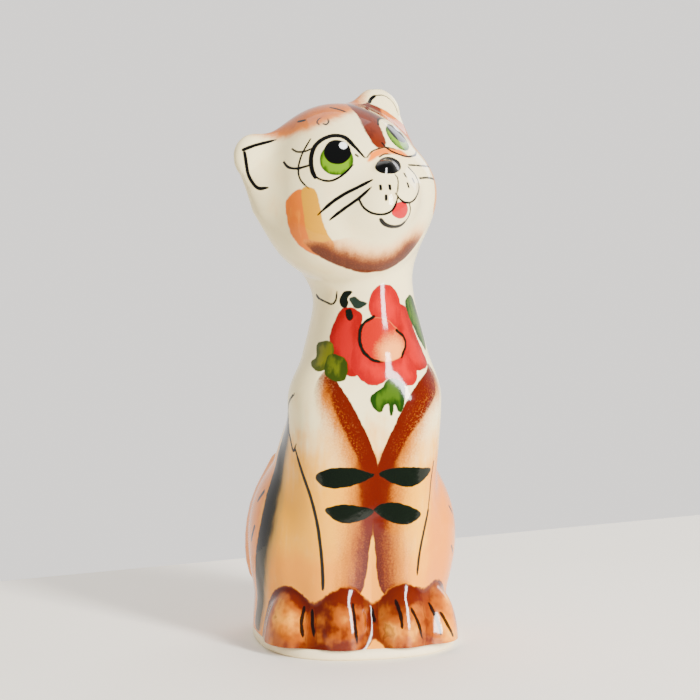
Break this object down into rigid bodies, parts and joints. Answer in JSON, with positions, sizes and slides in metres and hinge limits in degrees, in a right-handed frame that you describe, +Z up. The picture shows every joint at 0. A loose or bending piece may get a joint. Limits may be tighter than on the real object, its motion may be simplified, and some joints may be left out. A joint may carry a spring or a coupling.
{
  "type": "cat figurine",
  "caption": "Upright sitting cat figurine in hollow glazed porcelain, head turned and lifted, paws in relief, flat foot ring with a vent hole.",
  "frame": {"origin": "on the table, under the middle of the foot plate", "axes": "+Z up the cat, -Y the way its chest faces, +X its own left"},
  "size_m": [0.0537, 0.0542, 0.1271],
  "materials": {
    "glaze": "clear high-gloss glaze over hand painting",
    "bisque": "matte unglazed porcelain"
  },
  "bodies": {
    "root": {"body": "glaze", "head": "glaze", "right_ear": "glaze", "left_ear": "glaze", "right_front_paw": "glaze", "left_front_paw": "glaze", "right_hind_paw": "glaze", "left_hind_paw": "glaze", "tail": "glaze", "foot_plate": "bisque"}
  },
  "joints": []
}
